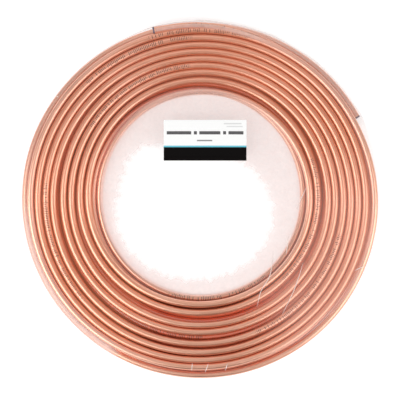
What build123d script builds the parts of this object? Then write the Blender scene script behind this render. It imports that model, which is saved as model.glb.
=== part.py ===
from build123d import *
import os

# A coil of soft copper tube: two flat layers of turns wound from one length,
# with both ends of the tube plugged and lying on the rim. Clear film is shrunk
# over it; where it spans the bore it is a taut skin on each face, and the upper
# one carries a paper label. The coil lies flat, and the foot of its axis is the
# origin.

# Copper tube and its winding
tube_diameter = 10.0
tube_wall = 0.7
bore_diameter = 296.0
turn_pitch = 11.6
lower_turns = 10
upper_turns = 9
groove_depth = 3.2
tail_sides = 8

# Tube ends on the rim, as angles counter-clockwise from +X: each comes out of
# its layer's last turn over the tail's arc. The upper end runs clockwise and the
# lower end counter-clockwise, with a step in the rim behind the lower one.
upper_end_angle = 105.0
upper_end_rise = 14.2
lower_end_angle = 28.0
lower_end_rise = 6.0
tail_arc = 86.0
rim_step_length = 55.0

# Plastic end plugs
plug_flange_thickness = 1.5
plug_spigot_length = 8.0
plug_clearance = 0.05
plug_tip_room = 1.0
plug_sides = 12

# Film across the bore
film_wall = 0.1
film_sides = 48

# Paper label on the film
label_width = 122.0
label_height = 60.0
label_thickness = 0.2
label_right_of_axis = 7.5
label_gap_to_turns = 30.0

# Worked out from the sizes above
tube_radius = tube_diameter / 2
tube_bore_radius = tube_radius - tube_wall
bore_radius = bore_diameter / 2
first_turn_radius = bore_radius + tube_radius
lower_last_radius = first_turn_radius + (lower_turns - 1) * turn_pitch
upper_last_radius = first_turn_radius + (upper_turns - 1) * turn_pitch
lower_rim_radius = lower_last_radius + tube_radius
upper_rim_radius = upper_last_radius + tube_radius
lower_width = lower_rim_radius - bore_radius
upper_width = upper_rim_radius - bore_radius
lower_middle_radius = bore_radius + lower_width / 2
upper_middle_radius = bore_radius + upper_width / 2
coil_bottom = film_wall
coil_middle = coil_bottom + tube_diameter
coil_top = coil_middle + tube_diameter
lower_level = coil_bottom + tube_radius
upper_level = coil_middle + tube_radius
groove_side = groove_depth * 2**0.5
lower_groove = (
    (-turn_pitch / 2, 0),
    (0, -groove_depth),
    (turn_pitch / 2, 0),
    (0, groove_depth),
)
rim_step_width = tube_diameter + 2 * plug_clearance
film_radius = first_turn_radius + turn_pitch / 2
label_above_axis = bore_radius - label_gap_to_turns - label_height / 2


def tube_end(end_angle, end_rise, turn_radius, level, turn_sense):
    """The plane of a free end, which looks along the tube, and its tail's bend axis.

    The tail has the last turn's radius, but its center is shifted towards the
    free end by its rise, so it comes out of that turn slowly over its arc.
    turn_sense is 1 where the tube runs counter-clockwise from the end, else -1.
    """
    outward = Vector(1, 0).rotate(Axis.Z, end_angle)
    along_tube = Vector(0, 0, turn_sense).cross(outward)
    center = outward * end_rise
    end_point = center + outward * turn_radius + Vector(0, 0, level)
    end_plane = Plane(end_point, x_dir=outward, z_dir=along_tube)
    return end_plane, Axis(center, (0, 0, turn_sense))


upper_end, upper_bend = tube_end(upper_end_angle, upper_end_rise, upper_last_radius, upper_level, -1)
lower_end, lower_bend = tube_end(lower_end_angle, lower_end_rise, lower_last_radius, lower_level, 1)

# The wound tube: one turned solid with its bore, a groove between each two
# turns on both faces and between the layers on the rim, and the two tails
with BuildPart() as copper_tube:
    with BuildSketch(Plane.XZ):
        with Locations((lower_middle_radius, lower_level)):
            Rectangle(lower_width, tube_diameter)
        with Locations((upper_middle_radius, upper_level)):
            Rectangle(upper_width, tube_diameter)
        with Locations((lower_middle_radius, coil_bottom)):
            with GridLocations(turn_pitch, 0, lower_turns + 1, 1):
                Polygon(*lower_groove, mode=Mode.SUBTRACT)
        with Locations((upper_middle_radius, coil_top)):
            with GridLocations(turn_pitch, 0, upper_turns + 1, 1):
                Rectangle(groove_side, groove_side, rotation=45, mode=Mode.SUBTRACT)
        with Locations((upper_rim_radius, coil_middle), (lower_rim_radius, coil_middle)):
            Rectangle(groove_side, groove_side, rotation=45, mode=Mode.SUBTRACT)
    revolve(axis=Axis.Z)
    with BuildSketch(lower_end):
        Rectangle(rim_step_width, rim_step_width)
    extrude(amount=-rim_step_length, mode=Mode.SUBTRACT)
    for end_plane, bend_axis in ((upper_end, upper_bend), (lower_end, lower_bend)):
        with BuildSketch(end_plane):
            RegularPolygon(tube_radius, tail_sides, major_radius=False, rotation=180 / tail_sides)
        revolve(axis=bend_axis, revolution_arc=tail_arc)
        with BuildSketch(end_plane):
            Circle(tube_bore_radius)
        extrude(amount=plug_spigot_length + plug_tip_room, mode=Mode.SUBTRACT)


def end_plug(end_plane):
    """A plug with its flange on the tube's end face and its spigot in the bore."""
    with BuildPart() as plug:
        with BuildSketch(end_plane):
            RegularPolygon(tube_radius, plug_sides)
        extrude(amount=-plug_flange_thickness)
        with BuildSketch(end_plane):
            RegularPolygon(tube_bore_radius - plug_clearance, plug_sides)
        extrude(amount=plug_spigot_length)
    return plug.part


# The film across the bore, drawn taut over the crowns of the innermost turns
with BuildPart() as shrink_film:
    for level in (0, coil_top):
        with BuildSketch(Plane.XY.offset(level)):
            RegularPolygon(film_radius, film_sides)
        extrude(amount=film_wall)

# The label, stuck on the upper film over the bore
with BuildPart() as label:
    with BuildSketch(Plane.XY.offset(coil_top + film_wall)):
        with Locations((label_right_of_axis, label_above_axis)):
            Rectangle(label_width, label_height)
    extrude(amount=label_thickness)

pieces = {
    "copper_tube": copper_tube.part,
    "upper_end_plug": end_plug(upper_end),
    "lower_end_plug": end_plug(lower_end),
    "shrink_film": shrink_film.part,
    "label": label.part,
}

os.makedirs("parts", exist_ok=True)
for name, piece in pieces.items():
    piece.label = name
    export_step(piece, f"parts/{name}.step")
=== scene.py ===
import math

import bpy
import numpy as np
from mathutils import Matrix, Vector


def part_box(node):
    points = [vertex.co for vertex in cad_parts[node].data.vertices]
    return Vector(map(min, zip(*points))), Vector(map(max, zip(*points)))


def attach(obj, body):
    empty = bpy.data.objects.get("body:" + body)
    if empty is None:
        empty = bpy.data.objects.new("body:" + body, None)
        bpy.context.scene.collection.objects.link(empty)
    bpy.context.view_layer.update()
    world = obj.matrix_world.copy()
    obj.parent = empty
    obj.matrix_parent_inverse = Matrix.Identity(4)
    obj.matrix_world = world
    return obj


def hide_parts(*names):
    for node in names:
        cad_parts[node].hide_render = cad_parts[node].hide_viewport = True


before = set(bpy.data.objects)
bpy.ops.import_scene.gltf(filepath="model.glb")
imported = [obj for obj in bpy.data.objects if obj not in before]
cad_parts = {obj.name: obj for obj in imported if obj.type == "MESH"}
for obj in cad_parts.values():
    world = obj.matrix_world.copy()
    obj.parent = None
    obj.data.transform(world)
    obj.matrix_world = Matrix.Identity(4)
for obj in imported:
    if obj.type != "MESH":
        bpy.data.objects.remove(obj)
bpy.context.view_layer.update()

# The copper tube: one length of soft drawn copper, 10 mm across, wound flat in two
# layers. From its plugged end on the floor it follows the rim, climbs on to the lower
# layer, spirals in to the bore, dips there and spirals out below to its other end.
MM = 0.001
tube_radius = 5.0
tube_bore_radius = 4.3
lower_level = 5.1
upper_level = 15.1
top_of_turns = 20.1

# Where the tube lies, as the turn angle in degrees from +X and the radius of its
# centre line in mm. The first turn lies outside on the floor.
outer_turn = [
    (28, 263.4), (45, 261.8), (65, 260.0), (105, 258.8), (140, 259.4), (165, 260.2),
    (180, 259.6), (225, 258.4), (255, 259.4), (285, 260.2), (315, 259.8), (335, 258.8),
    (360, 258.2), (388, 254.8), (420, 251.6),
]
# The upper layer's turns, each at the coil's top, left, bottom and right: they
# touch at the top, stand apart at the bottom and leave the bore off centre
upper_turns = [
    (250.6, 250.8, 246.8, 244.9),
    (240.0, 239.8, 236.4, 233.9),
    (229.4, 228.0, 225.0, 223.0),
    (219.2, 217.0, 212.2, 211.9),
    (209.0, 202.2, 195.5, 199.9),
    (198.8, 190.2, 184.9, 189.2),
    (188.8, 177.2, 166.8, 173.9),
    (177.0, 165.3, 154.6, 162.4),
]
upper_start = 450
upper_points = [
    (upper_start + 360 * turn + 90 * side, radius)
    for turn, sides in enumerate(upper_turns)
    for side, radius in enumerate(sides)
]
# The dip at the bore to the innermost turn below it
bore_turn = [
    (3285, 162.6), (3330, 160.2), (3360, 157.2), (3390, 152.4), (3420, 149.2),
    (3465, 146.4), (3495, 146.0), (3525, 146.6), (3555, 149.0),
]
# The lower layer's way out: its first turn at every eighth of the way round from the
# right, then its other turns, each at the coil's right, top, left and bottom
lower_first = (153.4, 158.6, 163.2, 162.0, 159.4, 156.6, 157.0, 160.4)
lower_turns = [
    (165.6, 173.4, 171.6, 170.8),
    (176.8, 184.0, 182.6, 181.0),
    (187.0, 194.6, 193.5, 192.3),
    (197.6, 205.2, 204.4, 203.6),
    (208.2, 215.8, 214.7, 216.5),
    (219.2, 226.4, 225.0, 227.6),
    (230.8, 237.0, 236.4, 238.6),
]
lower_start = 3600
lower_points = [(lower_start + 45 * eighth, radius) for eighth, radius in enumerate(lower_first)]
lower_points += [
    (lower_start + 360 * (turn + 1) + 90 * side, radius)
    for turn, sides in enumerate(lower_turns)
    for side, radius in enumerate(sides)
]
# The last turn below, and the end that climbs to the rim and runs out straight
last_end = [
    (6480, 244.0), (6525, 246.1), (6570, 247.7), (6615, 248.2), (6660, 248.8), (6705, 248.2),
    (6750, 249.6), (6795, 250.8), (6840, 252.6), (6868, 252.4), (6900, 253.2), (6918, 256.2),
    (6932, 258.2), (6938.4, 258.6), (6941.7, 258.9), (6945, 260.0),
]
course = np.array(outer_turn + upper_points + bore_turn + lower_points + last_end)
course_steps = 22000
# Where it changes level, as turn angles and 1 for up or -1 for down: up on to the
# lower layer, down at the bore, and up again at its last end
climbs = [(285, 338, 1), (3345, 3430, -1), (6880, 6937, 1)]


def through(stations, values, at):
    """A smooth line through the stations: on each span a cubic whose slopes are the
    mean of the slopes of the two spans that meet there, and at the ends its own."""
    rise = np.diff(values) / np.diff(stations)
    slope = np.concatenate([rise[:1], (rise[1:] + rise[:-1]) / 2, rise[-1:]])
    span = np.clip(np.searchsorted(stations, at) - 1, 0, len(stations) - 2)
    width = stations[span + 1] - stations[span]
    t = (at - stations[span]) / width
    bend = (2 * t**3 - 3 * t**2 + 1) * values[span] + (3 * t**2 - 2 * t**3) * values[span + 1]
    lean = (t**3 - 2 * t**2 + t) * slope[span] + (t**3 - t**2) * slope[span + 1]
    return bend + width * lean


def ease(at, start, end):
    """0 before start, 1 after end, and 3t^2 - 2t^3 between them."""
    t = np.clip((at - start) / (end - start), 0, 1)
    return t * t * (3 - 2 * t)


turn_angle = np.linspace(course[0, 0], course[-1, 0], course_steps + 1)
turn_radius = through(course[:, 0], course[:, 1], turn_angle)
level_share = sum(way * ease(turn_angle, start, end) for start, end, way in climbs)
line = np.stack(
    [
        turn_radius * np.cos(np.radians(turn_angle)),
        turn_radius * np.sin(np.radians(turn_angle)),
        lower_level + (upper_level - lower_level) * level_share,
    ],
    axis=1,
)
line_length = np.concatenate([[0], np.cumsum(np.linalg.norm(np.diff(line, axis=0), axis=1))])
whole_length = line_length[-1]
heading = np.gradient(line, line_length, axis=0)
heading /= np.linalg.norm(heading, axis=1, keepdims=True)

# Rows every 7.5 mm along the tube, and closer by its ends, where they turn over the
# cut edge and run 9 mm back down the bore to a stop
row_step = 7.5
first_row = 2.0
rows_by_end = np.array([0.3, 0.7, 1.2])
bore_shown = 9.0
stop_radius = 0.5
edge_round = 0.25
plain = np.linspace(first_row, whole_length - first_row, int(whole_length / row_step))
plain = np.concatenate([rows_by_end, plain, whole_length - rows_by_end[::-1]])
open_end = np.array([bore_shown, bore_shown, 0.0, 0.0])
cut_edge = np.array([stop_radius, tube_bore_radius, tube_bore_radius, tube_radius - edge_round])
row_length = np.concatenate([open_end, plain, whole_length - open_end[::-1]])
row_radius = np.concatenate([cut_edge, np.full(len(plain), tube_radius), cut_edge[::-1]])


def at_rows(values):
    """What the line has along it, as three columns, read off at each row's length."""
    return np.stack([np.interp(row_length, line_length, values[:, k]) for k in range(3)], axis=1)


row_centre = at_rows(line)
row_heading = at_rows(heading)
row_heading /= np.linalg.norm(row_heading, axis=1, keepdims=True)
row_side = np.cross(row_heading, (0.0, 0.0, 1.0))
row_side /= np.linalg.norm(row_side, axis=1, keepdims=True)
row_up = np.cross(row_side, row_heading)
tube_columns = 18
ring_angle = 2 * np.pi * np.arange(tube_columns) / tube_columns
tube_rings = row_centre[:, None] + row_radius[:, None, None] * (
    np.cos(ring_angle)[None, :, None] * row_side[:, None]
    + np.sin(ring_angle)[None, :, None] * row_up[:, None]
)

# Stretches of the tube that carry ink marks, by turn angle
marked = [
    (432, 467), (813, 855), (1253, 1300), (1733, 1785), (2254, 2307),
    (2835, 2900), (3492, 3550), (5257, 5312), (6906, 6934),
]
mark_fade = 0.6
row_angle = np.interp(row_length, line_length, turn_angle)
row_ink = sum(
    ease(row_angle, first, first + mark_fade) - ease(row_angle, last, last + mark_fade)
    for first, last in marked
)
# How deep a place lies between the turns, as a share, and so how much shade is painted
# on the copper there: nothing at the crowns, on the rim and at the bore, and all of it
# below the upper layer's middle
deep_heights = (13.5, 19.2)
deep_from_bore = (156, 168)
deep_to_rim = (246, 255)
from_axis = np.linalg.norm(tube_rings[..., :2], axis=-1)
painted_shade_between_turns = (
    (1 - ease(tube_rings[..., 2], *deep_heights))
    * ease(from_axis, *deep_from_bore)
    * (1 - ease(from_axis, *deep_to_rim))
)


def skin(name, rings, lengths=None, **shares):
    """A mesh over a grid of points in mm: rows of closed rings, each joined to the
    next by four-sided faces, with a flat face on the first and the last ring. With each
    ring's length along the piece it has a UV map of (length, share of the way round),
    and shares are point attributes."""
    rows, columns, _ = rings.shape
    index = np.arange(rows * columns).reshape(rows, columns)
    after = np.roll(index, -1, axis=1)
    quads = np.stack([index[:-1], index[1:], after[1:], after[:-1]], axis=-1).reshape(-1, 4)
    mesh = bpy.data.meshes.new(name)
    faces = quads.tolist() + [index[0].tolist(), index[-1, ::-1].tolist()]
    mesh.from_pydata((rings.reshape(-1, 3) * MM).tolist(), [], faces)
    mesh.polygons.foreach_set("use_smooth", np.ones(len(faces), bool))
    if lengths is not None:
        low = np.broadcast_to(np.arange(columns) / columns, (rows - 1, columns))
        high = low + 1 / columns
        first = np.broadcast_to(lengths[:-1, None], (rows - 1, columns))
        second = np.broadcast_to(lengths[1:, None], (rows - 1, columns))
        corners = np.stack(
            [np.stack([first, second, second, first], -1), np.stack([low, low, high, high], -1)], -1
        ).reshape(-1, 2)
        caps = np.zeros((2 * columns, 2))
        flat = np.concatenate([corners, caps]).astype(np.float32).ravel()
        mesh.uv_layers.new(name="along").data.foreach_set("uv", flat)
    for title, values in shares.items():
        held = mesh.attributes.new(title, "FLOAT", "POINT")
        held.data.foreach_set("value", np.asarray(values, np.float32).ravel())
    made = bpy.data.objects.new(name, mesh)
    bpy.context.scene.collection.objects.link(made)
    return made


copper_tube = skin(
    "copper_tube_wound",
    tube_rings,
    lengths=row_length * MM,
    ink=np.repeat(row_ink, tube_columns),
    deep=painted_shade_between_turns,
)


def linear(colour):
    """An sRGB hex colour as linear RGBA: each channel c becomes c / 12.92 below
    0.04045, and ((c + 0.055) / 1.055) to the power 2.4 above it."""
    c = np.array([int(colour[k : k + 2], 16) for k in (1, 3, 5)]) / 255
    c = np.where(c <= 0.04045, c / 12.92, ((c + 0.055) / 1.055) ** 2.4)
    return (*c.tolist(), 1.0)


def bare_tree(owner):
    """The node tree of a material or world, with nothing in it yet."""
    owner.use_nodes = True
    owner.node_tree.nodes.clear()
    return owner.node_tree


def add(tree, kind, inputs=None, **settings):
    """Adds a node with its settings; inputs gives each socket a value or a link."""
    made = tree.nodes.new(kind)
    for name, value in settings.items():
        setattr(made, name, value)
    for key, value in (inputs or {}).items():
        if isinstance(value, bpy.types.NodeSocket):
            tree.links.new(value, made.inputs[key])
        else:
            made.inputs[key].default_value = value
    return made


# Soft copper, drawn through a die and annealed bright: salmon metal with a silky
# gloss, faint lines along the tube and slow tan and pink tints, never a mirror.
# Those lines spread the light across the tube, and the film that clings to it lends
# it a thin clear gloss. Deep between the turns, where light comes by way of other
# turns, shade is painted on as a redder base colour, and the copper is rougher and duller there.
copper = bpy.data.materials.new("copper_bright_annealed")
tree = bare_tree(copper)
along = add(tree, "ShaderNodeUVMap", uv_map="along")
# Tints about 45 mm long and 14 mm across: repeats in a metre and once round the tube
tint_repeats = (22.0, 2.2, 0.0)
tint_place = add(
    tree,
    "ShaderNodeVectorMath",
    {0: along.outputs["UV"], 1: tint_repeats},
    operation="MULTIPLY",
)
tint = add(
    tree, "ShaderNodeTexNoise", {"Vector": tint_place.outputs[0], "Scale": 1.0, "Detail": 3.0}
)
tint_colour = add(tree, "ShaderNodeValToRGB", {"Fac": tint.outputs["Fac"]})
tint_colour.color_ramp.elements[0].position = 0.32
tint_colour.color_ramp.elements[0].color = linear("#f8a67b")
tint_colour.color_ramp.elements[1].position = 0.68
tint_colour.color_ramp.elements[1].color = linear("#fcb18c")
# Painted shade deep between the turns: the base colour is mixed toward a redder copper
deep = add(tree, "ShaderNodeAttribute", attribute_name="deep")
painted_shade_colour = add(
    tree,
    "ShaderNodeMix",
    {"Factor": deep.outputs["Fac"], 6: tint_colour.outputs["Color"], 7: linear("#ee7b50")},
    data_type="RGBA",
)
# Die lines are finer than a hair; they are drawn 0.6 mm apart so that they show
die_line_repeats = (9.0, 52.0, 0.0)
line_place = add(
    tree,
    "ShaderNodeVectorMath",
    {0: along.outputs["UV"], 1: die_line_repeats},
    operation="MULTIPLY",
)
die_lines = add(
    tree, "ShaderNodeTexNoise", {"Vector": line_place.outputs[0], "Scale": 1.0, "Detail": 2.0}
)
# Ink: strokes across the crown, 1.1 mm wide and 3 to 7 mm high, one to every 2.6 mm
# with some left out
stroke_spacing = 2.6 * MM
stroke_width_share = 0.44
left_out_share = 0.24
ink_cover = 0.9
on_tube = add(tree, "ShaderNodeSeparateXYZ", {0: along.outputs["UV"]})
stroke_step = add(
    tree, "ShaderNodeMath", {0: on_tube.outputs["X"], 1: 1 / stroke_spacing}, operation="MULTIPLY"
)
stroke_share = add(tree, "ShaderNodeMath", {0: stroke_step.outputs[0]}, operation="FRACT")
in_stroke = add(
    tree,
    "ShaderNodeMath",
    {0: stroke_share.outputs[0], 1: stroke_width_share},
    operation="LESS_THAN",
)
stroke_number = add(tree, "ShaderNodeMath", {0: stroke_step.outputs[0]}, operation="FLOOR")
stroke_kind = add(
    tree, "ShaderNodeTexWhiteNoise", {"W": stroke_number.outputs[0]}, noise_dimensions="1D"
)
stroke_kept = add(
    tree,
    "ShaderNodeMath",
    {0: stroke_kind.outputs["Value"], 1: left_out_share},
    operation="GREATER_THAN",
)
stroke_form = add(tree, "ShaderNodeSeparateColor", {0: stroke_kind.outputs["Color"]})
stroke_reach = add(
    tree,
    "ShaderNodeMapRange",
    {"Value": stroke_form.outputs["Green"], "To Min": 0.045, "To Max": 0.11},
)
stroke_middle = add(
    tree,
    "ShaderNodeMapRange",
    {"Value": stroke_form.outputs["Blue"], "To Min": 0.22, "To Max": 0.28},
)
by_crown = add(
    tree,
    "ShaderNodeMath",
    {0: on_tube.outputs["Y"], 1: stroke_middle.outputs[0], 2: stroke_reach.outputs[0]},
    operation="COMPARE",
)
ink_here = add(tree, "ShaderNodeAttribute", attribute_name="ink")
ink = in_stroke.outputs[0]
for factor in (stroke_kept.outputs[0], by_crown.outputs[0], ink_here.outputs["Fac"], ink_cover):
    ink = add(tree, "ShaderNodeMath", {0: ink, 1: factor}, operation="MULTIPLY").outputs[0]
inked = add(
    tree,
    "ShaderNodeMix",
    {"Factor": ink, 6: painted_shade_colour.outputs[2], 7: linear("#642810")},
    data_type="RGBA",
)
gloss = add(
    tree,
    "ShaderNodeMapRange",
    {"Value": tint.outputs["Fac"], "From Min": 0.3, "From Max": 0.7, "To Min": 0.3, "To Max": 0.38},
)
added_roughness = 0.24
dulled = add(
    tree,
    "ShaderNodeMath",
    {0: deep.outputs["Fac"], 1: added_roughness, 2: gloss.outputs["Result"]},
    operation="MULTIPLY_ADD",
)
drawn = add(
    tree,
    "ShaderNodeBump",
    {"Strength": 0.12, "Distance": 0.2 * MM, "Height": die_lines.outputs["Fac"]},
)
lengthwise = add(tree, "ShaderNodeTangent", direction_type="UV_MAP", uv_map="along")
metal = add(
    tree,
    "ShaderNodeBsdfPrincipled",
    {
        "Base Color": inked.outputs[2],
        "Metallic": 1.0,
        "Roughness": dulled.outputs[0],
        "Normal": drawn.outputs["Normal"],
        "Tangent": lengthwise.outputs["Tangent"],
        "Anisotropic": 0.35,
        "Anisotropic Rotation": 0.25,
        "Coat Weight": 1.0,
        "Coat Roughness": 0.26,
        "Coat IOR": 2.4,
    },
)
add(tree, "ShaderNodeOutputMaterial", {"Surface": metal.outputs["BSDF"]})
copper_tube.data.materials.append(copper)
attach(copper_tube, "root")
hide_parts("copper_tube")

# The end plugs: dark blue polyethylene, moulded in one with a round flange that
# covers the tube's cut end and a tapered spigot that is pushed 8 mm down its bore.
plug_columns = 40
# Their outline as (mm down the bore, radius in mm), from the flange's dished face over
# its rim to the spigot's tip
plug_outline = np.array(
    [
        (-1.8, 0.3), (-1.8, 2.5), (-1.9, 2.8), (-2.3, 3.1), (-2.5, 3.4), (-2.5, 4.4),
        (-2.4, 4.75), (-2.1, 4.97), (-1.6, 5.0), (0.0, 5.0), (0.0, 4.26), (1.0, 4.25),
        (7.0, 4.15), (7.7, 3.9), (8.0, 3.4), (8.0, 0.3),
    ]
)


def plug_rings(end, down_bore):
    """The outline turned about the tube's line at its end: each point (a, r) goes to
    end + a * down_bore + r * (cos * aside + sin * upward)."""
    aside = np.cross(down_bore, (0.0, 0.0, 1.0))
    aside /= np.linalg.norm(aside)
    upward = np.cross(aside, down_bore)
    spin = 2 * np.pi * np.arange(plug_columns) / plug_columns
    round_it = np.cos(spin)[:, None] * aside + np.sin(spin)[:, None] * upward
    down, radius = plug_outline[:, 0, None, None], plug_outline[:, 1, None, None]
    return end + down * down_bore + radius * round_it


# Moulded polyethylene: waxy dark blue with a soft gloss and a faint moulding grain
polyethylene = bpy.data.materials.new("polyethylene_moulded_dark_blue")
tree = bare_tree(polyethylene)
place = add(tree, "ShaderNodeTexCoord")
grain_size = 0.8 * MM
grain = add(
    tree,
    "ShaderNodeTexNoise",
    {"Vector": place.outputs["Object"], "Scale": 1 / grain_size, "Detail": 2.0},
)
shade = add(tree, "ShaderNodeValToRGB", {"Fac": grain.outputs["Fac"]})
shade.color_ramp.elements[0].color = linear("#1d1c42")
shade.color_ramp.elements[1].color = linear("#2c2b5c")
waxy = add(
    tree, "ShaderNodeMapRange", {"Value": grain.outputs["Fac"], "To Min": 0.32, "To Max": 0.5}
)
grain_height = add(
    tree, "ShaderNodeBump", {"Strength": 0.1, "Distance": 0.1 * MM, "Height": grain.outputs["Fac"]}
)
plastic = add(
    tree,
    "ShaderNodeBsdfPrincipled",
    {
        "Base Color": shade.outputs["Color"],
        "Roughness": waxy.outputs["Result"],
        "IOR": 1.51,
        "Normal": grain_height.outputs["Normal"],
    },
)
add(tree, "ShaderNodeOutputMaterial", {"Surface": plastic.outputs["BSDF"]})
for node_name, tube_end, down_bore in (
    ("lower_end_plug", line[0], heading[0]),
    ("upper_end_plug", line[-1], -heading[-1]),
):
    plug = skin(node_name + "_moulded", plug_rings(tube_end, down_bore))
    plug.data.materials.append(polyethylene)
    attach(plug, "root")
    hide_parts(node_name)

# The film: clear shrink film in one bag round the coil, drawn tight by heat over
# both faces and the bore. It tents over the steps behind the tube's two ends and
# stays slack and milky along the rim between them.
film_columns = 480
film_lift = 0.06
film_height = top_of_turns + film_lift
floor_film_height = 0.05
around = np.degrees(2 * np.pi * np.arange(film_columns) / film_columns)
turned = np.radians(around)


def about(stations, values):
    """Straight lines through values at angles in degrees, going once round."""
    return np.interp(around, stations, values, period=360)


# Radius in mm of the line where the film leaves the upper layer's crowns, and of the
# outermost tube on the floor that it goes round
top_edge = about(
    [0, 28, 60, 76, 90, 106, 120, 137, 180, 270, 290, 335],
    [258.2, 254.8, 252.4, 255.6, 258.8, 260.6, 256.0, 252.0, 251.0, 247.2, 250.0, 258.6],
)
floor_edge = about(
    [2, 16, 27, 29, 45, 65, 105, 140, 165, 180, 225, 255, 285, 315, 340],
    [
        258.6, 261.0, 264.4, 264.4, 262.4, 260.8, 260.0, 259.8,
        260.4, 259.8, 258.8, 259.8, 260.4, 260.0, 259.0,
    ],
)
# Where it is slack, by angle, it stands off the turns and ripples. Each ripple is its
# height in mm, its waves in a turn and its start in degrees.
slack_from = (8, 30)
slack_to = (84, 118)
slack_stand_off = 1.6
ripples = [(0.6, 17, 0), (0.4, 29, 40)]
slack = ease(around, *slack_from) - ease(around, *slack_to)
ripple = sum(high * np.sin(np.radians(around * waves + start)) for high, waves, start in ripples)
bulge = slack_stand_off * slack + slack * ripple
# How milky the film is, as a share: on the upper face, on the slope of the rim, and on
# the tube's upper end. Part of it is painted light: sheen on the face and glare on the
# rim where the soft boxes face them, least at the bottom. The cast is its colour: 0 is
# the copper's, a veil that paints lighter copper over the turns and the dark between
# them, 0.5 pale pink and 1 the pinkish grey that it has over the bore, painted shade
# with the copper's bounce light.
# Painted sheen in the face's milk: most where the soft boxes face the coil, near 0, 185 to 236 and
# 312 to 345 degrees, and almost none at the bottom
face_milk_and_sheen = about(
    [0, 30, 75, 105, 125, 165, 185, 236, 252, 290, 312, 345],
    [0.24, 0.2, 0.16, 0.14, 0.13, 0.14, 0.2, 0.18, 0.03, 0.03, 0.28, 0.27],
)
face_cast = about(
    [0, 24, 100, 115, 160, 185, 286, 306],
    [0.22, 0.0, 0.0, 0.1, 0.06, 0.0, 0.0, 0.24],
)
# Painted glare in the rim's milk: strongest from 190 to 238 degrees, where the rim faces the near
# left soft box, and a little where it faces the near right one; between the tube's ends it is the
# slack film's own milk
rim_milk_and_glare = about(
    [0, 24, 30, 75, 104, 108, 150, 178, 190, 238, 243, 292, 312, 350],
    [0.1, 0.1, 0.3, 0.34, 0.36, 0.26, 0.16, 0.2, 0.6, 0.62, 0.04, 0.03, 0.16, 0.14],
)
rim_cast = 0.5
least_milk = 0.02
end_from = (58, 76)
end_to = (104, 106)
end_milk_share = 0.7
end_milk = end_milk_share * rim_milk_and_glare * (ease(around, *end_from) - ease(around, *end_to))
# Within the bore the film is clear in an oval with a drawn-out upper left corner, and
# milky beyond its ragged edge, in a pinkish grey that is partly painted shade and
# copper bounce light on the floor under it. By the turns on the left a painted
# shadow of the turns makes it milkier still, and it is milky on the bore's own turn
# at the top.
bore_edge = about(
    [0, 45, 90, 135, 180, 225, 270, 315],
    [147, 152, 154, 150, 145, 141, 140, 143],
)
bore_milk = about(
    [0, 30, 60, 90, 120, 150, 180, 270],
    [0.06, 0.14, 0.26, 0.3, 0.24, 0.1, 0.02, 0.02],
)
clear_x, clear_y = -9.0, -21.0
clear_half_width, clear_half_height = 111.0, 93.0
clear_edge = (0.95, 1.12)
clear_milk = 0.01
milk_and_shade_in_bore = 0.45
corner_angle = math.radians(140)
corner_reach = 0.22
corner_power = 12
# Painted shadow of the turns at the bore's left edge: more milk there, most at 205 degrees
turn_shadow_angle = math.radians(205)
turn_shadow_milk = 0.22
turn_shadow_strip = (0.84, 1.0)
# The edge's rags, each as (share of the oval, waves in a turn, start in radians)
rags = [(0.016, 23, 0), (0.013, 41, 1), (0.01, 67, 2)]
corner = corner_reach * np.clip(np.cos(turned - corner_angle), 0, 1) ** corner_power
painted_turn_shadow = turn_shadow_milk * np.clip(np.cos(turned - turn_shadow_angle), 0, 1) ** 2
ragged = sum(high * np.sin(turned * waves + start) for high, waves, start in rags)
film_rows = []
film_haze = []
film_cast = []


def film_row(radius, height, haze, cast):
    """Adds one ring of the film, with how milky it is there and its cast."""
    ring = np.stack([radius * np.cos(turned), radius * np.sin(turned), height + 0 * turned], axis=1)
    film_rows.append(ring)
    film_haze.append(haze + 0 * turned)
    film_cast.append(cast + 0 * turned)


# Rows across the bore from its middle, and over the upper face from the bore's edge to
# the top edge, as shares of the way. So are the face's strips: where the milk sets in,
# where the bore's own milk and cast fade out, and where the tube's upper end begins.
bore_rows = np.concatenate([[0.01], np.linspace(0.08, 1, 40)])
face_rows = np.linspace(0, 1, 30)[1:]
face_milk_strip = (-0.1, 0.3)
bore_milk_strip = (0.06, 0.16)
bore_cast_strip = (0.04, 0.14)
end_strip = (0.93, 0.97)
for share in bore_rows:
    radius = bore_edge * share
    from_clear = np.hypot(
        (radius * np.cos(turned) - clear_x) / clear_half_width,
        (radius * np.sin(turned) - clear_y) / clear_half_height,
    )
    milk_with_painted_light = clear_milk + milk_and_shade_in_bore * ease(from_clear + ragged - corner, *clear_edge)
    film_row(radius, film_height, milk_with_painted_light + painted_turn_shadow * ease(share, *turn_shadow_strip), 1.0)
for share in face_rows:
    radius = bore_edge + (top_edge - bore_edge) * share
    by_edge = ease(share, *end_strip)
    milk_with_painted_light = face_milk_and_sheen * ease(share, *face_milk_strip) + end_milk * by_edge
    milk_with_painted_light = milk_with_painted_light + bore_milk * (1 - ease(share, *bore_milk_strip))
    cast = face_cast + (1 - face_cast) * (1 - ease(share, *bore_cast_strip))
    film_row(radius, film_height, milk_with_painted_light, cast + (rim_cast - cast) * by_edge)
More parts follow.
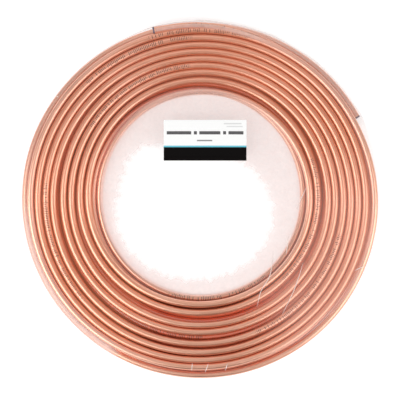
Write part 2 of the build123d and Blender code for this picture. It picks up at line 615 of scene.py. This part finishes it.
# Over the edge: the rim's outline as (share of the way from the top edge to the
# floor edge, mm further out, height in mm, share of the bulge, share of the milk)
rim_outline = [
    (0.0, 2.2, 19.7, 0.0, 0.2), (0.0, 3.9, 18.6, 0.0, 0.5), (0.1, 4.9, 16.6, 0.3, 1.0),
    (0.35, 5.1, 13.6, 0.8, 1.0), (0.7, 5.1, 10.2, 1.0, 0.9), (0.95, 5.2, 7.4, 0.9, 0.5),
    (1.0, 5.3, 5.1, 0.6, 0.1), (1.0, 4.9, 3.0, 0.3, 0.1), (1.0, 3.6, 1.2, 0.1, 0.1),
    (1.0, 1.5, 0.25, 0.0, 0.1), (1.0, -1.0, 0.06, 0.0, 0.1),
]
for share, out, height, swell, milk_with_painted_light in rim_outline:
    radius = top_edge + (floor_edge - top_edge) * share + out + bulge * swell
    film_row(radius, height, least_milk + milk_with_painted_light * rim_milk_and_glare, rim_cast)
# Under the coil it lies flat on the floor, in to its middle
middle_radius = 1.0
in_from_edge = 6.0
under_rows = np.linspace(1, 0, 20)
for share in under_rows:
    radius = middle_radius + (floor_edge - in_from_edge) * share
    film_row(radius, floor_film_height, least_milk, 0.0)
film = skin(
    "shrink_film_bag",
    np.stack(film_rows),
    haze=np.stack(film_haze),
    cast=np.stack(film_cast),
)

# Polyolefin shrink film: clear and glossy; it shows by its milky shrunk places and
# by its creases. Part of its milk and cast is painted light: a copper-coloured veil
# over the turns, sheen and glare where the soft boxes face it, and pinkish grey shade
# over the bore.
polyolefin = bpy.data.materials.new("polyolefin_shrink_film_clear")
tree = bare_tree(polyolefin)
place = add(tree, "ShaderNodeTexCoord")
# Patches about 9 mm across, where the film has shrunk unevenly
patch_size = 9 * MM
uneven = add(
    tree,
    "ShaderNodeTexNoise",
    {"Vector": place.outputs["Object"], "Scale": 1 / patch_size, "Detail": 3.0},
)
milk_with_painted_light = add(tree, "ShaderNodeAttribute", attribute_name="haze")
spread = add(
    tree,
    "ShaderNodeMapRange",
    {
        "Value": uneven.outputs["Fac"],
        "From Min": 0.3,
        "From Max": 0.7,
        "To Min": 0.88,
        "To Max": 1.12,
    },
)
seen = add(
    tree,
    "ShaderNodeMath",
    {0: milk_with_painted_light.outputs["Fac"], 1: spread.outputs["Result"]},
    operation="MULTIPLY",
)
pink = add(tree, "ShaderNodeAttribute", attribute_name="cast")
hue = add(tree, "ShaderNodeValToRGB", {"Fac": pink.outputs["Fac"]})
# Cast 0: the copper's own colour, a veil that paints lighter copper over the turns
hue.color_ramp.elements[0].color = linear("#f3956c")
# Cast 1: pinkish grey, painted shade and copper bounce light over the bore
hue.color_ramp.elements[1].color = linear("#e6cbc6")
hue.color_ramp.elements.new(rim_cast).color = linear("#fcdcd2")
pucker = add(
    tree,
    "ShaderNodeBump",
    {"Strength": 0.12, "Distance": 0.6 * MM, "Height": uneven.outputs["Fac"]},
)
clear = add(
    tree,
    "ShaderNodeBsdfPrincipled",
    {
        "Base Color": hue.outputs["Color"],
        "Roughness": 0.16,
        "IOR": 1.5,
        "Alpha": seen.outputs[0],
        "Normal": pucker.outputs["Normal"],
    },
)
add(tree, "ShaderNodeOutputMaterial", {"Surface": clear.outputs["BSDF"]})
film.data.materials.append(polyolefin)
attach(film, "root")
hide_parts("shrink_film")

# Creases: folds in the same film, left where it shrank unevenly. Each is a low ridge
# 1.2 mm wide along a short curve from one place in mm to the next; a hand can feel
# them. Their whiteness is partly the folded film's own and partly the light they catch,
# painted on as a glint.
creases = [
    [(84, -158), (90, -134), (103, -111), (108, -75)],
    [(121, -169), (131, -149), (138, -134), (146, -112), (152, -92)],
    [(242, -98), (234, -101), (228, -104)],
    [(142, -14), (149, 2), (157, 19)],
    [(-11.4, -240), (-11.8, -246), (-12.4, -252)],
    [(12.4, -241), (10, -247.5), (7.2, -254.5)],
    [(40.4, -241.5), (38.8, -246.5), (37, -251.5)],
    [(127, -80), (129, -66), (130, -52)],
    [(-208, 151), (-211, 153), (-213, 155)],
]
crease_profile = np.array([(0.0, -0.02), (0.6, 0.0), (0.2, 0.4), (-0.2, 0.4), (-0.6, 0.0)])
crease_lift = 0.08
crease_height = top_of_turns + crease_lift
crease_rows = 25
crease_tip = 0.02


def crease_rings(points):
    """The ridge's profile carried along a smooth curve through the points, and
    tapered to nothing at both ends: width and height go with sqrt(sin(pi t))."""
    points = np.array(points, float)
    knots = np.arange(len(points), dtype=float)
    t = np.linspace(0, 1, crease_rows)
    middle = np.stack([through(knots, points[:, k], t * knots[-1]) for k in range(2)], axis=1)
    ahead = np.gradient(middle, axis=0)
    ahead /= np.linalg.norm(ahead, axis=1, keepdims=True)
    beside = np.stack([ahead[:, 1], -ahead[:, 0]], axis=1)
    size = np.sqrt(np.clip(np.sin(np.pi * t), crease_tip, 1))
    across = crease_profile[None, :, 0] * size[:, None]
    height = crease_height + crease_profile[None, :, 1] * size[:, None]
    flat = middle[:, None] + across[..., None] * beside[:, None]
    return np.concatenate([flat, height[..., None]], axis=-1)


# Folded film: two skins thick and bent sharply, so it is whiter and less clear, with a painted
# glint along the fold
folded_and_glinting = bpy.data.materials.new("polyolefin_shrink_film_folded_glinting")
tree = bare_tree(folded_and_glinting)
place = add(tree, "ShaderNodeTexCoord")
# Painted glint along the fold, broken into pieces 5 mm long
glint_length = 5 * MM
painted_glint_breaks = add(
    tree,
    "ShaderNodeTexNoise",
    {"Vector": place.outputs["Object"], "Scale": 1 / glint_length, "Detail": 2.0},
)
fold_and_glint_seen = add(
    tree,
    "ShaderNodeMapRange",
    {
        "Value": painted_glint_breaks.outputs["Fac"],
        "From Min": 0.3,
        "From Max": 0.7,
        "To Min": 0.6,
        "To Max": 1.0,
    },
)
fold_and_glint = add(
    tree,
    "ShaderNodeBsdfPrincipled",
    {
        "Base Color": linear("#fff0e8"),
        "Roughness": 0.2,
        "IOR": 1.5,
        "Alpha": fold_and_glint_seen.outputs["Result"],
    },
)
add(tree, "ShaderNodeOutputMaterial", {"Surface": fold_and_glint.outputs["BSDF"]})
for number, points in enumerate(creases):
    crease = skin(f"film_crease_{number + 1}", crease_rings(points))
    crease.data.materials.append(folded_and_glinting)
    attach(crease, "root")

# The label: coated white paper stuck on the film over the bore, printed with a
# thin teal rule above a black band. Its sheet lies flat with a little lift at
# two corners.
label_low, label_high = (np.array(corner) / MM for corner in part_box("label"))
label_columns, label_rows = 60, 30
band_height = 19.8
rule_height = 2.4
label_x = np.linspace(label_low[0], label_high[0], label_columns)
label_y = np.linspace(label_low[1], label_high[1], label_rows)
to_side = np.linspace(0, 1, label_columns)[:, None]
to_top = np.linspace(0, 1, label_rows)[None]
# Lift in mm at the upper right corner and at the lower left one, which falls with the
# square of the way in from the side and evenly with the way in from the edge
right_lift, right_in, top_in = 0.28, 0.1, 0.25
left_lift, left_in, foot_in = 0.384, 0.08, 0.3
lift = right_lift * np.clip((to_side - 1) / right_in + 1, 0, 1) ** 2
lift = lift * np.clip((to_top - 1) / top_in + 1, 0, 1)
foot_lift = left_lift * np.clip(1 - to_side / left_in, 0, 1) ** 2
lift = lift + foot_lift * np.clip(1 - to_top / foot_in, 0, 1)
sheet_x = np.broadcast_to(label_x[:, None], lift.shape)
sheet_y = np.broadcast_to(label_y[None], lift.shape)
upper_sheet = np.stack([sheet_x, sheet_y, label_high[2] + lift], axis=-1)
under_sheet = np.stack([sheet_x, sheet_y, label_low[2] + lift], axis=-1)
label = skin("label_sheet", np.concatenate([upper_sheet, under_sheet[:, ::-1]], axis=1))
label.data.polygons.foreach_set("use_smooth", np.zeros(len(label.data.polygons), bool))

# Coated paper, offset printed: white with a slight sheen, flat black and teal ink
paper = bpy.data.materials.new("coated_paper_offset_printed")
tree = bare_tree(paper)
place = add(tree, "ShaderNodeTexCoord")
on_label = add(tree, "ShaderNodeSeparateXYZ", {0: place.outputs["Object"]})
fibre_length = 0.5 * MM
fibre = add(
    tree,
    "ShaderNodeTexNoise",
    {"Vector": place.outputs["Object"], "Scale": 1 / fibre_length, "Detail": 2.0},
)
white = add(tree, "ShaderNodeValToRGB", {"Fac": fibre.outputs["Fac"]})
white.color_ramp.elements[0].color = linear("#f4f4f3")
white.color_ramp.elements[1].color = linear("#fdfdfc")
band_top = float(label_low[1]) + band_height
rule_top = band_top + rule_height
below_rule = add(
    tree, "ShaderNodeMath", {0: on_label.outputs["Y"], 1: rule_top * MM}, operation="LESS_THAN"
)
below_band = add(
    tree, "ShaderNodeMath", {0: on_label.outputs["Y"], 1: band_top * MM}, operation="LESS_THAN"
)
ruled = add(
    tree,
    "ShaderNodeMix",
    {"Factor": below_rule.outputs[0], 6: white.outputs["Color"], 7: linear("#6fc3d3")},
    data_type="RGBA",
)
banded = add(
    tree,
    "ShaderNodeMix",
    {"Factor": below_band.outputs[0], 6: ruled.outputs[2], 7: linear("#0b0808")},
    data_type="RGBA",
)
fibre_height = add(
    tree,
    "ShaderNodeBump",
    {"Strength": 0.05, "Distance": 0.05 * MM, "Height": fibre.outputs["Fac"]},
)
printed = add(
    tree,
    "ShaderNodeBsdfPrincipled",
    {
        "Base Color": banded.outputs[2],
        "Roughness": 0.5,
        "Specular IOR Level": 0.06,
        "Normal": fibre_height.outputs["Normal"],
    },
)
add(tree, "ShaderNodeOutputMaterial", {"Surface": printed.outputs["BSDF"]})
label.data.materials.append(paper)
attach(label, "root")
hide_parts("label")

# Print on the label: plain bars of grey ink, laid on by offset press in rows of
# differing height. Each is (left, right, foot, top) in mm from the label's foot on
# its left, and how thickly it is inked.
print_bars = [
    (4.5, 40.5, 38.6, 43.4, 1.0), (44.5, 49.0, 38.6, 43.4, 1.0), (52.5, 83.5, 38.6, 43.4, 1.0),
    (87.5, 92.0, 38.6, 43.4, 1.0), (95.5, 117.5, 38.6, 43.4, 1.0), (49.0, 71.5, 28.6, 30.6, 0.8),
    (88.5, 116.5, 53.6, 55.2, 0.3), (92.5, 116.5, 49.4, 51.0, 0.25),
]
ink_depth = 0.03
bars = np.array(print_bars)
# A bar is a thin box: the four corners of its foot, then the same four above them
bar_x = bars[:, [0, 1, 1, 0]] + label_low[0]
bar_y = bars[:, [2, 2, 3, 3]] + label_low[1]
bar_foot = np.stack([bar_x, bar_y, np.full(bar_x.shape, label_high[2])], axis=-1)
bar_points = np.concatenate([bar_foot, bar_foot + np.array([0.0, 0.0, ink_depth])], axis=1)
bar_corners = bar_points.shape[1]
bar_faces = np.array(
    [(3, 2, 1, 0), (4, 5, 6, 7), (0, 1, 5, 4), (1, 2, 6, 5), (2, 3, 7, 6), (3, 0, 4, 7)]
)
first_corner = bar_corners * np.arange(len(bars))[:, None, None]
print_faces = (bar_faces[None] + first_corner).reshape(-1, 4)
print_mesh = bpy.data.meshes.new("label_print")
print_mesh.from_pydata((bar_points.reshape(-1, 3) * MM).tolist(), [], print_faces.tolist())
label_print = bpy.data.objects.new("label_print", print_mesh)
bpy.context.scene.collection.objects.link(label_print)
ink_weight = print_mesh.attributes.new("ink_weight", "FLOAT", "POINT")
ink_weight.data.foreach_set("value", np.repeat(bars[:, 4], bar_corners).astype(np.float32))

# Offset ink, dark grey and dry: a flat colour broken by the paper's tooth, and
# paler where it is printed thinly
offset_ink = bpy.data.materials.new("offset_ink_dark_grey")
tree = bare_tree(offset_ink)
place = add(tree, "ShaderNodeTexCoord")
# Speckles 0.4 mm across, where the paper shows through
speckle_size = 0.4 * MM
tooth = add(
    tree,
    "ShaderNodeTexNoise",
    {"Vector": place.outputs["Object"], "Scale": 1 / speckle_size, "Detail": 2.0},
)
worn = add(tree, "ShaderNodeValToRGB", {"Fac": tooth.outputs["Fac"]})
worn.color_ramp.elements[0].position = 0.35
worn.color_ramp.elements[0].color = linear("#4a484a")
worn.color_ramp.elements[1].position = 0.75
worn.color_ramp.elements[1].color = linear("#767475")
weight = add(tree, "ShaderNodeAttribute", attribute_name="ink_weight")
thin = add(
    tree,
    "ShaderNodeMix",
    {"Factor": weight.outputs["Fac"], 6: linear("#f6f6f5"), 7: worn.outputs["Color"]},
    data_type="RGBA",
)
dry = add(
    tree,
    "ShaderNodeBsdfPrincipled",
    {"Base Color": thin.outputs[2], "Roughness": 0.6, "Specular IOR Level": 0.15},
)
add(tree, "ShaderNodeOutputMaterial", {"Surface": dry.outputs["BSDF"]})
print_mesh.materials.append(offset_ink)
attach(label_print, "root")

# The floor: a wide white studio sweep, just under the film. The camera and reflections
# see it at full white, and the light that falls on it still shows the coil's soft
# shadow. Its sizes are in metres.
floor_reach = 12.0
floor_drop = 0.0002
floor_glow = 0.56
floor_mesh = bpy.data.meshes.new("studio_floor")
floor_corners = np.array([(-1, -1, 0), (1, -1, 0), (1, 1, 0), (-1, 1, 0)]) * floor_reach
floor_mesh.from_pydata(floor_corners.tolist(), [], [(0, 1, 2, 3)])
floor = bpy.data.objects.new("studio_floor", floor_mesh)
floor.location.z = -floor_drop
bpy.context.scene.collection.objects.link(floor)
sweep = bpy.data.materials.new("studio_paper_white")
tree = bare_tree(sweep)
ray = add(tree, "ShaderNodeLightPath")
sees_white = ray.outputs["Is Camera Ray"]
for kind in ("Is Glossy Ray", "Is Transmission Ray"):
    sees_white = add(
        tree, "ShaderNodeMath", {0: sees_white, 1: ray.outputs[kind]}, operation="MAXIMUM"
    ).outputs[0]
# In the shade under the turns it has no glow, and it is painted copper red there for the
# shade and the copper-coloured light that bounces in between the turns: a ring
# between two circles, each (centre x, y and radius in mm)
shade_inner = (2.0, 8.5, 149.5)
shade_outer = (0.0, 0.0, 258.0)
place = add(tree, "ShaderNodeTexCoord")
beyond = []
for centre_x, centre_y, ring_radius in (shade_inner, shade_outer):
    from_centre = add(
        tree,
        "ShaderNodeVectorMath",
        {0: place.outputs["Object"], 1: (centre_x * MM, centre_y * MM, 0.0)},
        operation="DISTANCE",
    )
    outside = add(
        tree,
        "ShaderNodeMath",
        {0: from_centre.outputs["Value"], 1: ring_radius * MM},
        operation="GREATER_THAN",
    )
    beyond.append(outside.outputs[0])
shaded = add(tree, "ShaderNodeMath", {0: beyond[0], 1: beyond[1]}, operation="SUBTRACT")
lit = add(tree, "ShaderNodeMath", {0: 1.0, 1: shaded.outputs[0]}, operation="SUBTRACT")
glow_level = add(tree, "ShaderNodeMath", {0: sees_white, 1: floor_glow}, operation="MULTIPLY")
glow_level = add(
    tree, "ShaderNodeMath", {0: glow_level.outputs[0], 1: lit.outputs[0]}, operation="MULTIPLY"
)
glow = add(
    tree, "ShaderNodeEmission", {"Color": (1, 1, 1, 1), "Strength": glow_level.outputs[0]}
)
# Painted shade and bounce light: copper red on the floor under the turns
painted_shade_under_turns = add(
    tree,
    "ShaderNodeMix",
    {"Factor": shaded.outputs[0], 6: linear("#cfcfcf"), 7: linear("#a8431f")},
    data_type="RGBA",
)
matte = add(tree, "ShaderNodeBsdfDiffuse", {"Color": painted_shade_under_turns.outputs[2]})
both = add(tree, "ShaderNodeAddShader", {0: matte.outputs[0], 1: glow.outputs[0]})
add(tree, "ShaderNodeOutputMaterial", {"Surface": both.outputs[0]})
floor.data.materials.append(sweep)

# The light: a plain pale room, darker half way up its walls and on its near side, and
# three soft boxes: one on the near left, a weaker one on the near right and a faint
# one behind
world = bpy.data.worlds.new("white_room")
bpy.context.scene.world = world
tree = bare_tree(world)
place = add(tree, "ShaderNodeTexCoord")
way = add(tree, "ShaderNodeSeparateXYZ", {0: place.outputs["Generated"]})
walls = add(tree, "ShaderNodeValToRGB", {"Fac": way.outputs["Z"]})
walls.color_ramp.elements[0].position = 0.14
walls.color_ramp.elements[0].color = (0.8, 0.8, 0.8, 1)
walls.color_ramp.elements[1].position = 0.9
walls.color_ramp.elements[1].color = (0.52, 0.52, 0.52, 1)
for rise, level in ((0.28, 0.19), (0.6, 0.28)):
    walls.color_ramp.elements.new(rise).color = (level, level, level, 1)
near_wall = add(
    tree,
    "ShaderNodeMapRange",
    {"Value": way.outputs["Y"], "From Min": -0.7, "From Max": 0.1, "To Min": 0.5, "To Max": 1.0},
)
room = add(
    tree,
    "ShaderNodeBackground",
    {"Color": walls.outputs["Color"], "Strength": near_wall.outputs["Result"]},
)
add(tree, "ShaderNodeOutputWorld", {"Surface": room.outputs[0]})


def soft_box(name, azimuth, height, distance, size, power):
    """An oblong lamp that looks at the coil, from angles in degrees round it and up from
    the floor, with its distance and size in metres."""
    lamp = bpy.data.lights.new(name, "AREA")
    lamp.shape = "RECTANGLE"
    lamp.size, lamp.size_y = size
    lamp.energy = power
    made = bpy.data.objects.new(name, lamp)
    a, e = math.radians(azimuth), math.radians(height)
    made.location = (
        distance * math.cos(e) * math.cos(a),
        distance * math.cos(e) * math.sin(a),
        distance * math.sin(e),
    )
    made.rotation_euler = (math.pi / 2 - e, 0.0, a + math.pi / 2)
    bpy.context.scene.collection.objects.link(made)


box_distance = 1.4
soft_box("near_left_soft_box", 210, 44, box_distance, size=(1.45, 1.1), power=14.2)
soft_box("near_right_soft_box", 332, 42, box_distance, size=(1.4, 1.0), power=10.0)
soft_box("far_soft_box", 90, 42, box_distance, size=(1.5, 0.9), power=2.4)

# The camera: straight above the coil, with the photograph's 400 pixels across
# 591 mm at the level of the upper turns
photo_pixels = 400
pixel_size = 1.478
sensor_width = 36.0
camera_height = 1.6
camera_data = bpy.data.cameras.new("camera")
camera = bpy.data.objects.new("camera", camera_data)
camera.location = (0.0, 0.0, camera_height + upper_level * MM)
camera_data.sensor_width = sensor_width
camera_data.lens = sensor_width * camera_height / (photo_pixels * pixel_size * MM)
camera_data.clip_start = 0.01
camera_data.clip_end = 50.0
bpy.context.scene.collection.objects.link(camera)
bpy.context.scene.camera = camera
bpy.context.scene.view_settings.view_transform = "Standard"
